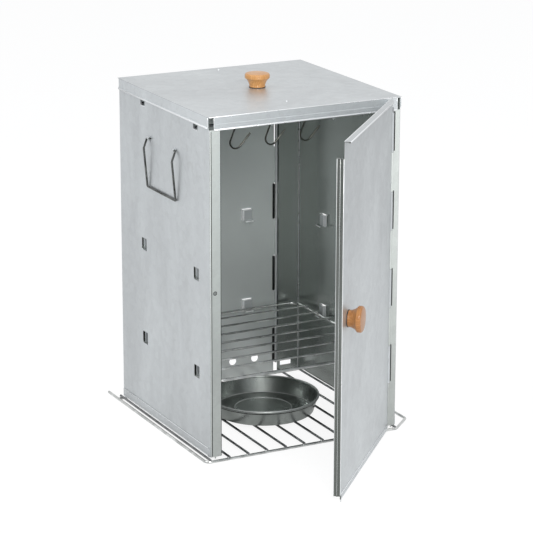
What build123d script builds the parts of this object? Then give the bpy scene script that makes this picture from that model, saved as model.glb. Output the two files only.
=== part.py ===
"""Folding sheet-metal smoker: a cabinet on a wire rack, with its door ajar, in millimetres.

X runs to the right, Y to the back and Z up. The origin is on the ground under the middle of the cabinet.
"""

import os
from math import cos, radians, sin

from build123d import *

os.makedirs("parts", exist_ok=True)

# Sheet metal and gaps
sheet = 0.8
bend_radius = 1.2
slide_gap = 0.3
weld_sink = 0.05
through_sheet = 4 * sheet

# Cabinet, outside sizes
body_width = 300.0
body_depth = 300.0
cabinet_height = 489.0
post_width = 17.0
left_rear_flange = 35.0
right_rear_flange = 41.5
wall_hem_height = 12.0
corner_tab_width = 1.6
corner_tab_drop = 2.6
corner_tab_inset = 7.5
post_top_notch_width = 7.0
post_top_notch_height = 17.0

# Rolled hinges: a rod through knuckles of one pitch
hinge_rod_diameter = 3.0
hinge_clearance = 0.05
leaf_clearance = 0.9
knuckle_gap = 0.6
knuckle_count = 8
rear_knuckles_bottom = 15.7
rear_knuckles_from_top = 14.9
front_knuckles_bottom = 10.6
rod_overhang = 2.0
door_rod_top = 7.0

# Door
door_hinge_inset = 16.0
door_hinge_stand_off = 5.0
door_open_angle = 47.0
door_bottom_drop = 2.5
return_bottom_gap = 1.3
door_top_rise = 2.0
door_return_depth = 10.0
door_wrap_gap = 1.2
return_hem_depth = 4.0
return_rib_width = 1.8
return_rib_height = 0.6
door_hem_height = 7.0
door_ledge_depth = 8.6
door_ledge_taper = 34.0
door_ledge_hem = 3.0
door_pin_width = 1.6
door_pin_drop = 4.6
door_pin_inset = 3.6
return_lid_gap = 2.0
hinge_pocket_reach = 7.5

# Lid
lid_flange_drop = 18.5
lid_side_drop = 16.0
lid_front_hem = 8.0
lid_side_hem = 3.0
lid_corner_notch = 3.5
lid_front_notch = 8.0

# Wooden knobs, their washers and screws
knob_base_diameter = 23.0
knob_neck_diameter = 23.6
knob_head_diameter = 36.0
knob_height = 20.0
knob_base_height = 2.6
knob_flare_height = 10.0
knob_dome = 0.6
knob_edge_radius = 3.0
knob_waist_margin = 0.6
knob_waist_share = 0.55
knob_from_free_edge = 33.0
knob_level = 243.0
washer_thickness = 1.0
washer_rim = 0.4
screw_diameter = 4.0
screw_fit = 0.05
screw_hole_clearance = 0.3
screw_reach = 14.0
screw_head_diameter = 8.0
screw_head_height = 2.4

# Door catch: a stud that snaps into a hole in the left post
catch_level = 240.0
catch_from_corner = 8.0
catch_stud_diameter = 4.0
catch_hole_diameter = 5.6
catch_reach = 5.8
catch_dome = 1.2

# Pressed shelf supports, on two levels of each wall
lower_support_level = 115.0
upper_support_level = 258.0
support_from_front = 43.4
support_from_back = 83.0
support_width = 17.0
support_height = 18.0
support_depth = 4.5
support_slope = 1.2
support_ledge = 7.0
back_support_from_middle = 61.2

# Hanging rods and the slots that carry them
hanging_rod_diameter = 4.0
hanging_rod_from_top = 22.0
hanging_rod_overhang = 2.0
rod_slot_width = 14.0
rod_slot_height = 6.5
rod_slot_bottom_from_top = 24.5

# Hooks on the front rod
hook_wire = 2.4
hook_first_x = -89.5
hook_pitch = 55.0
hook_count = 3
hook_eye_gap = 0.35
hook_eye_open_angle = 215.0
hook_shank_side = -60.0
hook_shank_turn = 30.0
hook_lean_angle = 23.0
hook_lean_radius = 10.0
hook_shank_length = 15.1
hook_bowl_radius = 9.0
hook_tip_angle = 47.0
hook_tip_length = 23.0

# Bail handles on the side walls
handle_wire = 3.0
handle_from_top = 68.0
handle_middle_y = 1.5
handle_lug_spread = 84.0
handle_lug_length = 5.0
handle_lug_wall = 0.8
handle_bore_clearance = 0.1
handle_wall_gap = 0.2
handle_leg_spread = 94.0
handle_end_reach = 4.0
handle_bulge = 5.6
handle_bulge_drop = 15.0
handle_drop = 72.0
handle_bar_gap = 0.6
handle_bend_radius = 2.4

# Draught holes near the bottom of the back
vent_diameter = 12.0
vent_pitch = 37.9
vent_count = 5
vent_level = 25.5
side_vent_width = 19.0
side_vent_height = 7.0
side_vent_level = 10.5
side_vent_from_hinge = 8.5

# Wire shelf
shelf_wire = 4.5
shelf_bar = 3.2
shelf_side_gap = 10.0
shelf_front_gap = 6.5
shelf_back_gap = 9.5
shelf_corner_radius = 14.0
shelf_bar_count = 7

# Wire rack under the cabinet
rack_wire = 4.0
rack_bar = 3.5
rack_left_reach = 7.5
rack_right_reach = 35.0
rack_front_reach = 2.0
rack_back_reach = 38.0
rack_cross_reach = 3.0
rack_corner_radius = 8.0
rack_corner_cut_x = 34.0
rack_corner_cut_y = 31.0
rack_first_bar_gap = 5.0
rack_last_bar_gap = 37.5
rack_bar_count = 11

# Chip pan
pan_x = 9.5
pan_y = -2.0
pan_rim_diameter = 167.0
pan_base_diameter = 150.0
pan_height = 24.5
pan_wall = 1.0
pan_corner_radius = 2.0
pan_rim_roll = 3.6
pan_step_diameter = 84.0
pan_step_height = 2.0

# Places that follow from the sizes above
rack_top = rack_wire + rack_bar - weld_sink
cabinet_bottom = rack_top + slide_gap
lid_top = cabinet_bottom + cabinet_height
wall_height = cabinet_height - sheet - slide_gap
half_width = body_width / 2
half_depth = body_depth / 2
rod_bore = hinge_rod_diameter / 2 + hinge_clearance
barrel_radius = rod_bore + sheet
leaf_gap = barrel_radius + leaf_clearance
rear_hinge_y = half_depth - barrel_radius
left_rear_x = -half_width + left_rear_flange
right_rear_x = half_width - right_rear_flange
door_hinge_x = half_width - door_hinge_inset
door_hinge_y = -half_depth - door_hinge_stand_off
back_middle_x = (left_rear_x + right_rear_x) / 2
post_inner_face = -half_depth + sheet
rear_inner_face = half_depth - sheet
side_support_places = (-half_depth + support_from_front, half_depth - support_from_back)
knuckle_pitch = (cabinet_height - rear_knuckles_bottom - rear_knuckles_from_top) / knuckle_count
support_levels = (lower_support_level, upper_support_level)
hanging_rod_level = cabinet_height - hanging_rod_from_top
rod_slot_level = cabinet_height - rod_slot_bottom_from_top + rod_slot_height / 2
handle_level = cabinet_height - handle_from_top
handle_axis_gap = handle_wire / 2 + handle_wall_gap


def above(level):
    """Height above the ground of a level given from the bottom edge of the cabinet."""
    return cabinet_bottom + level


def knuckle_bottoms(lowest, first):
    """Bottoms of every second knuckle of a hinge, from the first or the second one up."""
    return [above(lowest) + i * knuckle_pitch + knuckle_gap / 2 for i in range(first, knuckle_count, 2)]


def knuckle_stack(x, y, bottoms, leaf_x, leaf_y):
    """Barrels about a hinge axis, each with its strip of leaf; the leaf spans are (low, high) pairs."""
    with BuildPart() as stack:
        for bottom in bottoms:
            with BuildSketch(Plane.XY.offset(bottom)):
                with Locations((x, y)):
                    Circle(barrel_radius)
                with Locations(((leaf_x[0] + leaf_x[1]) / 2, (leaf_y[0] + leaf_y[1]) / 2)):
                    Rectangle(leaf_x[1] - leaf_x[0], leaf_y[1] - leaf_y[0])
                with Locations((x, y)):
                    Circle(rod_bore, mode=Mode.SUBTRACT)
            extrude(amount=knuckle_pitch - knuckle_gap)
    return stack.part


def pressed_support():
    """A strip pressed inward from a wall, with a ledge along its bottom edge; +X points inward, from the outside."""
    half = support_width / 2
    with BuildPart() as support:
        with BuildSketch(Plane.XY.offset(-support_height / 2)):
            with BuildLine():
                Polyline(
                    (0, -half),
                    (support_depth, -half + support_slope),
                    (support_depth, half - support_slope),
                    (0, half),
                )
                offset(amount=sheet, side=Side.RIGHT)
            make_face()
        extrude(amount=support_height)
        with Locations((support_depth, 0, -support_height / 2)):
            Box(
                sheet + support_ledge,
                support_width - 2 * support_slope,
                sheet,
                align=(Align.MIN, Align.CENTER, Align.MIN),
            )
    return support.part


def handle_lug():
    """A half loop on the outside of a wall that carries one end of a handle, centred on the handle's axis."""
    bore = handle_wire / 2 + handle_bore_clearance
    with BuildPart() as lug:
        with BuildSketch(Plane.XZ):
            Circle(bore + handle_lug_wall)
            with Locations((handle_axis_gap, 0)):
                Rectangle(handle_axis_gap, 2 * (bore + handle_lug_wall), align=(Align.MAX, Align.CENTER))
            Circle(bore, mode=Mode.SUBTRACT)
        extrude(amount=handle_lug_length / 2, both=True)
    return lug.part


def finish(part, name):
    """Labels a finished piece and writes it."""
    part.label = name
    export_step(part, "parts/" + name + ".step")


support = pressed_support()
lug = handle_lug()


def side_wall_cuts(side):
    """Everything that is cut from a side wall: side is -1 for the left wall and 1 for the right."""
    rear_x = left_rear_x if side < 0 else right_rear_x
    side_vent_x = rear_x + side * (side_vent_from_hinge + side_vent_width / 2)
    with BuildPart() as cuts:
        with Locations(*[(side * half_width, y, above(z)) for y in side_support_places for z in support_levels]):
            Box(through_sheet, support_width, support_height)
        with Locations(*[(side * half_width, y, above(rod_slot_level)) for y in side_support_places]):
            Box(through_sheet, rod_slot_width, rod_slot_height)
        with Locations((side_vent_x, half_depth, above(side_vent_level))):
            Box(side_vent_width, through_sheet, side_vent_height)
        with Locations((side * half_width, -half_depth, cabinet_bottom + wall_height)):
            Box(
                2 * post_top_notch_width,
                2 * (bend_radius + sheet),
                2 * post_top_notch_height,
            )
    return cuts.part


def side_wall_extras(side):
    """What stands on a side wall: supports, handle lugs, the doubled bottom hem and the tab under its corner."""
    turn = 0 if side < 0 else 180
    with BuildPart() as extras:
        for y in side_support_places:
            for z in support_levels:
                add(Location((side * half_width, y, above(z)), (0, 0, turn)) * support)
        for y in (-handle_lug_spread / 2, handle_lug_spread / 2):
            spot = (side * (half_width + handle_axis_gap), handle_middle_y + y, above(handle_level))
            add(Location(spot, (0, 0, turn)) * lug)
        with Locations((side * (half_width + sheet / 2), 0, above(wall_hem_height / 2))):
            Box(sheet, body_depth - 2 * (bend_radius + sheet), wall_hem_height)
        with Locations((side * (half_width - corner_tab_inset), post_inner_face, above(-corner_tab_drop))):
            Box(
                corner_tab_width,
                sheet,
                corner_tab_drop + wall_hem_height,
                align=(Align.CENTER, Align.MAX, Align.MIN),
            )
    return extras.part


left_cuts = side_wall_cuts(-1)
right_cuts = side_wall_cuts(1)
left_extras = side_wall_extras(-1)
right_extras = side_wall_extras(1)
left_rear_knuckles = knuckle_stack(
    left_rear_x,
    rear_hinge_y,
    knuckle_bottoms(rear_knuckles_bottom, 0),
    (left_rear_x - leaf_gap - sheet, left_rear_x),
    (rear_inner_face, half_depth),
)
right_rear_knuckles = knuckle_stack(
    right_rear_x,
    rear_hinge_y,
    knuckle_bottoms(rear_knuckles_bottom, 0),
    (right_rear_x, right_rear_x + leaf_gap + sheet),
    (rear_inner_face, half_depth),
)
fixed_leaf_x = (door_hinge_x + barrel_radius - sheet, door_hinge_x + barrel_radius)
front_knuckles = knuckle_stack(
    door_hinge_x,
    door_hinge_y,
    knuckle_bottoms(front_knuckles_bottom, 0),
    fixed_leaf_x,
    (door_hinge_y, post_inner_face),
)

# Left wall: post, side and rear flange are one bent sheet
with BuildPart() as left_wall:
    with BuildSketch(Plane.XY.offset(cabinet_bottom)):
        with BuildLine():
            FilletPolyline(
                (-half_width + post_width, -half_depth),
                (-half_width, -half_depth),
                (-half_width, half_depth),
                (left_rear_x - leaf_gap, half_depth),
                radius=bend_radius + sheet,
            )
            offset(amount=sheet, side=Side.RIGHT)
        make_face()
    extrude(amount=wall_height)
    add(left_cuts, mode=Mode.SUBTRACT)
    add(left_extras)
    add(left_rear_knuckles)
    with Locations((-half_width + catch_from_corner, -half_depth, above(catch_level))):
        Cylinder(catch_hole_diameter / 2, through_sheet, rotation=(90, 0, 0), mode=Mode.SUBTRACT)
finish(left_wall.part, "left_wall")

# Right wall, whose post turns forward to carry the door's hinge
with BuildPart() as right_wall:
    with BuildSketch(Plane.XY.offset(cabinet_bottom)):
        with BuildLine():
            FilletPolyline(
                (fixed_leaf_x[0], -half_depth),
                (half_width, -half_depth),
                (half_width, half_depth),
                (right_rear_x + leaf_gap, half_depth),
                radius=bend_radius + sheet,
            )
            offset(amount=sheet, side=Side.LEFT)
        make_face()
    extrude(amount=wall_height)
    add(right_cuts, mode=Mode.SUBTRACT)
    add(right_extras)
    add(right_rear_knuckles)
    # Pockets in the post's edge beside the door's own knuckles
    for bottom in knuckle_bottoms(front_knuckles_bottom, 1):
        with Locations((door_hinge_x, -half_depth, bottom)):
            Box(
                2 * hinge_pocket_reach,
                through_sheet,
                knuckle_pitch - knuckle_gap,
                align=(Align.CENTER, Align.CENTER, Align.MIN),
                mode=Mode.SUBTRACT,
            )
    add(front_knuckles)
finish(right_wall.part, "right_wall")

# Back wall, hinged to both side walls
back_left_knuckles = knuckle_stack(
    left_rear_x,
    rear_hinge_y,
    knuckle_bottoms(rear_knuckles_bottom, 1),
    (left_rear_x, left_rear_x + leaf_gap + sheet),
    (rear_inner_face, half_depth),
)
back_right_knuckles = knuckle_stack(
    right_rear_x,
    rear_hinge_y,
    knuckle_bottoms(rear_knuckles_bottom, 1),
    (right_rear_x - leaf_gap - sheet, right_rear_x),
    (rear_inner_face, half_depth),
)
back_panel_width = right_rear_x - left_rear_x - 2 * leaf_gap
back_support_spots = [
    (back_middle_x + side * back_support_from_middle, half_depth, above(z))
    for side in (-1, 1)
    for z in support_levels
]
vent_spots = [
    (back_middle_x + (i - (vent_count - 1) / 2) * vent_pitch, half_depth, above(vent_level))
    for i in range(vent_count)
]
with BuildPart() as back_wall:
    with Locations((back_middle_x, half_depth, cabinet_bottom)):
        Box(back_panel_width, sheet, wall_height, align=(Align.CENTER, Align.MAX, Align.MIN))
    with Locations((back_middle_x, half_depth, cabinet_bottom)):
        Box(back_panel_width, sheet, wall_hem_height, align=(Align.CENTER, Align.MIN, Align.MIN))
    with Locations(*back_support_spots):
        Box(support_width, through_sheet, support_height, mode=Mode.SUBTRACT)
    with Locations(*vent_spots):
        Cylinder(vent_diameter / 2, through_sheet, rotation=(90, 0, 0), mode=Mode.SUBTRACT)
    for spot in back_support_spots:
        add(Location(spot, (0, 0, -90)) * support)
    add(back_left_knuckles)
    add(back_right_knuckles)
finish(back_wall.part, "back_wall")

# Hinge rods
rear_rod_length = knuckle_count * knuckle_pitch + 2 * rod_overhang
rear_rod_bottom = above(rear_knuckles_bottom) - rod_overhang
for name, x in (("left_rear_hinge_rod", left_rear_x), ("right_rear_hinge_rod", right_rear_x)):
    with BuildPart(Plane.XY.offset(rear_rod_bottom)) as rear_rod:
        with Locations((x, rear_hinge_y, 0)):
            Cylinder(
                hinge_rod_diameter / 2,
                rear_rod_length,
                align=(Align.CENTER, Align.CENTER, Align.MIN),
            )
    finish(rear_rod.part, name)
door_rod_bottom = above(front_knuckles_bottom) - rod_overhang
with BuildPart(Plane.XY.offset(door_rod_bottom)) as door_rod:
    with Locations((door_hinge_x, door_hinge_y, 0)):
        Cylinder(
            hinge_rod_diameter / 2,
            knuckle_count * knuckle_pitch + rod_overhang + door_rod_top,
            align=(Align.CENTER, Align.CENTER, Align.MIN),
        )
finish(door_rod.part, "door_hinge_rod")

# Door, drawn closed about its hinge axis and then turned to where it stands ajar
door_place = Location((door_hinge_x, door_hinge_y, 0), (0, 0, door_open_angle))
door_width = door_hinge_x + half_width + door_wrap_gap + 2 * sheet
door_bottom = above(-door_bottom_drop)
return_bottom = above(return_bottom_gap)
door_top = lid_top + door_top_rise
door_height = door_top - door_bottom
return_top = lid_top - lid_flange_drop - return_lid_gap
return_height = return_top - return_bottom
door_knuckles = knuckle_stack(
    0,
    0,
    knuckle_bottoms(front_knuckles_bottom, 1),
    (-leaf_gap - sheet, -rod_bore - sheet / 2),
    (-sheet / 2, sheet / 2),
)
with BuildPart() as door_panel:
    with Locations((-leaf_gap, 0, door_bottom)):
        Box(door_width - leaf_gap, sheet, door_height, align=(Align.MAX, Align.CENTER, Align.MIN))
    # Return that wraps round the left wall, with its doubled edge and a rib
    with Locations((-door_width, -sheet / 2, return_bottom)):
        Box(sheet, door_return_depth, return_height, align=(Align.MIN, Align.MIN, Align.MIN))
    with Locations((-door_width + sheet, door_return_depth - sheet / 2, return_bottom)):
        Box(sheet, return_hem_depth, return_height, align=(Align.MIN, Align.MAX, Align.MIN))
    with Locations((-door_width, (door_return_depth - sheet) / 2, return_bottom)):
        Box(return_rib_height, return_rib_width, return_height, align=(Align.MAX, Align.CENTER, Align.MIN))
    # Doubled hem along the bottom, on the outside, in front of the rack when the door is shut
    with Locations((-leaf_gap, -sheet / 2, door_bottom)):
        Box(door_width - leaf_gap, sheet, door_hem_height, align=(Align.MAX, Align.MAX, Align.MIN))
    # Ledge along the top, cut back at the hinge so that it passes the lid
    with BuildSketch(Plane.XY.offset(door_top)):
        with BuildLine():
            Polyline(
                (-door_width, 0),
                (-door_width, -sheet / 2 - door_ledge_depth),
                (-door_ledge_taper, -sheet / 2 - door_ledge_depth),
                (-leaf_gap, -sheet / 2),
                (-leaf_gap, 0),
                close=True,
            )
        make_face()
    extrude(amount=-sheet)
    with Locations((-door_width, -sheet / 2 - door_ledge_depth, door_top - sheet)):
        Box(
            door_width - door_ledge_taper,
            door_ledge_hem,
            sheet,
            align=(Align.MIN, Align.MIN, Align.MAX),
        )
    # Locating tab under the free corner
    with Locations((-door_width + door_pin_inset, 0, door_bottom)):
        Box(door_pin_width, sheet, door_pin_drop, align=(Align.CENTER, Align.CENTER, Align.MAX))
    with Locations((-door_width + knob_from_free_edge, 0, above(knob_level))):
        Cylinder(screw_diameter / 2 + screw_hole_clearance, through_sheet, rotation=(90, 0, 0), mode=Mode.SUBTRACT)
    add(door_knuckles)
door_piece = door_place * door_panel.part
finish(door_piece, "door_panel")

catch_x = -half_width + catch_from_corner - door_hinge_x
with BuildPart(Plane(origin=(catch_x, sheet / 2, above(catch_level)), z_dir=(0, 1, 0))) as catch_stud:
    Cylinder(catch_stud_diameter / 2, catch_reach, align=(Align.CENTER, Align.CENTER, Align.MIN))
    fillet(catch_stud.edges().group_by(Axis.Y)[-1], catch_dome)
finish(door_place * catch_stud.part, "door_catch_stud")


def knob_pieces(bottom_reach):
    """A turned knob, its washer and its screw along +Z, with the washer's underside at the sheet's face."""
    base = knob_base_diameter / 2
    neck = knob_neck_diameter / 2
    head = knob_head_diameter / 2
    foot = washer_thickness
    flare = foot + knob_flare_height
    crown = foot + knob_height
    with BuildPart() as knob:
        with BuildSketch(Plane.XZ):
            with BuildLine():
                Line((0, foot), (base, foot))
                Line((base, foot), (base, foot + knob_base_height))
                ThreePointArc(
                    (base, foot + knob_base_height),
                    (neck + knob_waist_margin, foot + knob_flare_height * knob_waist_share),
                    (head - knob_edge_radius, flare),
                )
                Line((head - knob_edge_radius, flare), (head, flare + knob_edge_radius))
                Line((head, flare + knob_edge_radius), (head, crown - knob_dome - knob_edge_radius))
                ThreePointArc(
                    (head, crown - knob_dome - knob_edge_radius),
                    (
                        head - knob_edge_radius * (1 - cos(radians(45))),
                        crown - knob_dome - knob_edge_radius * (1 - sin(radians(45))),
                    ),
                    (head - knob_edge_radius, crown - knob_dome),
                )
                Bezier(
                    (head - knob_edge_radius, crown - knob_dome),
                    ((head - knob_edge_radius) / 2, crown),
                    (0, crown),
                )
                Line((0, crown), (0, foot))
            make_face()
        revolve(axis=Axis.Z)
        with Locations((0, 0, foot)):
            Cylinder(
                screw_diameter / 2 + screw_fit,
                screw_reach + slide_gap,
                align=(Align.CENTER, Align.CENTER, Align.MIN),
                mode=Mode.SUBTRACT,
            )
    with BuildPart() as washer:
        Cylinder(base + washer_rim, foot, align=(Align.CENTER, Align.CENTER, Align.MIN))
        Cylinder(screw_diameter / 2 + screw_hole_clearance, 3 * foot, mode=Mode.SUBTRACT)
    with BuildPart(Plane.XY.offset(-bottom_reach)) as screw:
        Cylinder(
            screw_diameter / 2,
            bottom_reach + foot + screw_reach,
            align=(Align.CENTER, Align.CENTER, Align.MIN),
        )
        with Locations((0, 0, 0)):
            Cylinder(screw_head_diameter / 2, screw_head_height, align=(Align.CENTER, Align.CENTER, Align.MAX))
        fillet(screw.edges().group_by(Axis.Z)[0], screw_head_height / 2)
    return knob.part, washer.part, screw.part


knob_part, washer_part, screw_part = knob_pieces(sheet)
door_knob_place = (
    door_place
    * Location((-door_width + knob_from_free_edge, -sheet / 2, above(knob_level)))
    * Location((0, 0, 0), (90, 0, 0))
)
lid_knob_place = Location((0, 0, lid_top))
for prefix, place in (("door_knob", door_knob_place), ("lid_knob", lid_knob_place)):
    finish(place * knob_part, prefix)
    finish(place * washer_part, prefix + "_washer")
    finish(place * screw_part, prefix + "_screw")

# Lid: a shallow cap with open corners, wider ones at the front, and lower flanges at the front and back
lid_inside = half_width + slide_gap
lid_reach = lid_inside + sheet
lid_depth_reach = half_depth + slide_gap + sheet
with BuildPart() as lid_panel:
    with BuildSketch(Plane.XY.offset(lid_top)):
        Rectangle(2 * lid_reach, 2 * lid_depth_reach)
    extrude(amount=-lid_side_drop)
    with BuildSketch(Plane.XY.offset(lid_top)):
        Rectangle(2 * lid_inside, 2 * lid_depth_reach)
    extrude(amount=-lid_flange_drop)
    with BuildSketch(Plane.XY.offset(lid_top - lid_side_drop)):
        Rectangle(2 * (lid_reach + sheet), 2 * lid_depth_reach)
    extrude(amount=lid_side_hem)
    with BuildSketch(Plane.XY.offset(lid_top - lid_flange_drop)):
        Rectangle(2 * lid_inside, 2 * (lid_depth_reach + sheet))
    extrude(amount=lid_side_hem)
    with Locations((0, -lid_depth_reach, lid_top - lid_flange_drop)):
        Box(2 * lid_inside, sheet, lid_front_hem, align=(Align.CENTER, Align.MAX, Align.MIN))
    with BuildSketch(Plane.XY.offset(lid_top - sheet)):
        Rectangle(2 * lid_inside, 2 * (half_depth + slide_gap))
    extrude(amount=-lid_flange_drop, mode=Mode.SUBTRACT)
    for y, notch in ((-lid_depth_reach, lid_front_notch), (lid_depth_reach, lid_corner_notch)):
        with Locations((-lid_reach, y, lid_top - sheet), (lid_reach, y, lid_top - sheet)):
            Box(
                2 * notch,
                2 * lid_corner_notch,
                lid_flange_drop,
                align=(Align.CENTER, Align.CENTER, Align.MAX),
                mode=Mode.SUBTRACT,
            )
    with Locations((0, 0, lid_top)):
        Cylinder(screw_diameter / 2 + screw_hole_clearance, through_sheet, mode=Mode.SUBTRACT)
finish(lid_panel.part, "lid_panel")

# Bail handles, hanging against the walls
handle_axis_x = half_width + handle_axis_gap
bar_x = half_width + handle_wire / 2 + handle_bar_gap
for name, side in (("left_handle", -1), ("right_handle", 1)):
    top = above(handle_level)
    half_legs = handle_leg_spread / 2
    stub = handle_lug_spread / 2 - handle_lug_length / 2 - handle_end_reach / 2
    half_path = [
        (side * handle_axis_x, stub, top),
        (side * handle_axis_x, half_legs, top),
        (side * (handle_axis_x + handle_bulge), half_legs, top - handle_bulge_drop),
        (side * bar_x, half_legs, top - handle_drop),
    ]
    route = [(x, handle_middle_y + y, z) for x, y, z in half_path]
    route += [(x, handle_middle_y - y, z) for x, y, z in reversed(half_path)]
    with BuildPart() as handle:
        with BuildLine() as handle_path:
            FilletPolyline(*route, radius=handle_bend_radius)
        with BuildSketch(Plane(origin=route[0], z_dir=(0, 1, 0))):
            Circle(handle_wire / 2)
        sweep()
    finish(handle.part, name)

# Hanging rods across the top
for name, y in (("front_hanging_rod", side_support_places[0]), ("rear_hanging_rod", side_support_places[1])):
    with BuildPart() as hanging_rod:
        with Locations((0, y, above(hanging_rod_level))):
            Cylinder(
                hanging_rod_diameter / 2,
                body_width + 2 * hanging_rod_overhang,
                rotation=(0, 90, 0),
            )
    finish(hanging_rod.part, name)

# Hooks: an eye over the rod, a shank turned a quarter and a bowl that opens to the right
eye_radius = hanging_rod_diameter / 2 + hook_eye_gap + hook_wire / 2
rod_y = side_support_places[0]
rod_z = above(hanging_rod_level)
side_turn = radians(hook_shank_side)
shank_bend = eye_radius * cos(side_turn) / (1 - sin(radians(hook_shank_turn)))
for i in range(hook_count):
    hook_x = hook_first_x + i * hook_pitch
    eye_plane = Plane(origin=(hook_x, rod_y, rod_z), x_dir=(0, 1, 0), z_dir=(1, 0, 0))
    with BuildPart() as hook:
        with BuildLine(eye_plane) as eye_line:
            eye_arc = CenterArc((0, 0), eye_radius, hook_eye_open_angle, hook_shank_side - hook_eye_open_angle)
            turn_arc = JernArc(
                start=eye_arc @ 1,
                tangent=eye_arc % 1,
                radius=shank_bend,
                arc_size=90 + hook_shank_side + hook_shank_turn,
            )
        shank_plane = Plane(origin=(hook_x, rod_y, rod_z), x_dir=(1, 0, 0), z_dir=(0, -1, 0))
        shank_start = (0, (eye_line.line @ 1).Z - rod_z)
        with BuildLine(shank_plane) as bowl_line:
            lean = JernArc(start=shank_start, tangent=(0, -1), radius=hook_lean_radius, arc_size=-hook_lean_angle)
            shank = Line(lean @ 1, lean @ 1 + (lean % 1) * hook_shank_length)
            bowl = JernArc(
                start=shank @ 1,
                tangent=shank % 1,
                radius=hook_bowl_radius,
                arc_size=90 + hook_lean_angle + hook_tip_angle,
            )
            Line(bowl @ 1, bowl @ 1 + (bowl % 1) * hook_tip_length)
        hook_path = Wire(eye_line.edges() + bowl_line.edges())
        with BuildSketch(Plane(origin=hook_path @ 0, z_dir=hook_path % 0)):
            Circle(hook_wire / 2)
        sweep(path=hook_path)
    finish(hook.part, "hook_" + str(i + 1))

# Wire shelf on the lower supports
ledge_top = above(support_levels[0]) - support_height / 2 + sheet
shelf_frame_z = ledge_top + slide_gap + shelf_wire / 2
shelf_side = half_width - shelf_side_gap
shelf_front = -half_depth + shelf_front_gap
shelf_back = half_depth - shelf_back_gap
with BuildPart() as shelf_frame:
    with BuildLine(Plane.XY.offset(shelf_frame_z)) as shelf_path:
        FilletPolyline(
            (-shelf_side, shelf_front),
            (shelf_side, shelf_front),
            (shelf_side, shelf_back),
            (-shelf_side, shelf_back),
            radius=shelf_corner_radius,
            close=True,
        )
    with BuildSketch(Plane(origin=shelf_path.line @ 0, z_dir=shelf_path.line % 0)):
        Circle(shelf_wire / 2)
    sweep()
finish(shelf_frame.part, "shelf_frame")
shelf_bar_z = shelf_frame_z + (shelf_wire + shelf_bar) / 2 - weld_sink
shelf_pitch = (shelf_back - shelf_front) / (shelf_bar_count + 1)
with BuildPart() as shelf_bars:
    with Locations(*[(0, shelf_front + (i + 1) * shelf_pitch, shelf_bar_z) for i in range(shelf_bar_count)]):
        Cylinder(shelf_bar / 2, 2 * shelf_side + shelf_wire, rotation=(0, 90, 0))
finish(shelf_bars.part, "shelf_bars")

# Wire rack that everything stands on: two rails with free back ends, a front wire and a cross wire
rack_left = -half_width - rack_left_reach
rack_right = half_width + rack_right_reach
rack_front = -half_depth - rack_front_reach
rack_back = half_depth + rack_back_reach
rack_cross = half_depth + rack_cross_reach
with BuildPart() as rack_frame:
    with BuildLine(Plane.XY.offset(rack_wire / 2)) as rack_path:
        FilletPolyline(
            (rack_left, rack_back),
            (rack_left, rack_front),
            (rack_right - rack_corner_cut_x, rack_front),
            (rack_right, rack_front + rack_corner_cut_y),
            (rack_right, rack_back),
            radius=rack_corner_radius,
        )
    with BuildSketch(Plane(origin=rack_path.line @ 0, z_dir=rack_path.line % 0)):
        Circle(rack_wire / 2)
    sweep()
    with Locations(((rack_left + rack_right) / 2, rack_cross, rack_wire / 2)):
        Cylinder(rack_wire / 2, rack_right - rack_left, rotation=(0, 90, 0))
finish(rack_frame.part, "base_rack_frame")
rack_bar_z = rack_top - rack_bar / 2
rack_first_bar = rack_left + rack_first_bar_gap
rack_bar_pitch = (rack_right - rack_last_bar_gap - rack_first_bar) / (rack_bar_count - 1)
rack_bar_spots = []
for i in range(rack_bar_count):
    x = rack_first_bar + i * rack_bar_pitch
    cut = max(0.0, x - (rack_right - rack_corner_cut_x)) * rack_corner_cut_y / rack_corner_cut_x
    rack_bar_spots.append((x, rack_front - rack_wire / 2 + cut))
with BuildPart() as rack_bars:
    for x, y in rack_bar_spots:
        with Locations((x, y, rack_bar_z)):
            Cylinder(
                rack_bar / 2,
                rack_cross + rack_wire / 2 - y,
                rotation=(-90, 0, 0),
                align=(Align.CENTER, Align.CENTER, Align.MIN),
            )
finish(rack_bars.part, "base_rack_bars")

# Chip pan: a pressed round tin with a rolled rim and a stepped floor
rim = (pan_rim_diameter - pan_rim_roll) / 2
rim_level = pan_height - pan_rim_roll / 2
step = pan_step_diameter / 2
with BuildPart() as chip_pan:
    with BuildSketch(Plane.XZ):
        with BuildLine():
            FilletPolyline(
                (0, pan_step_height),
                (step, pan_step_height),
                (step + 2 * pan_step_height, 0),
                (pan_base_diameter / 2, 0),
                (rim, rim_level),
                radius=pan_corner_radius,
            )
            offset(amount=pan_wall, side=Side.LEFT)
        make_face()
        with Locations((rim, rim_level)):
            Circle(pan_rim_roll / 2)
    revolve(axis=Axis.Z)
finish(Location((pan_x, pan_y, rack_top + slide_gap)) * chip_pan.part, "chip_pan")
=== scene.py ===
"""Looks of a folding sheet-metal smoker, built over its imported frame, in metres."""

import logging
import math
import random
from dataclasses import dataclass
from enum import Enum
from functools import cached_property
from typing import Any

import bmesh
import bpy
from mathutils import Matrix, Vector

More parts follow.
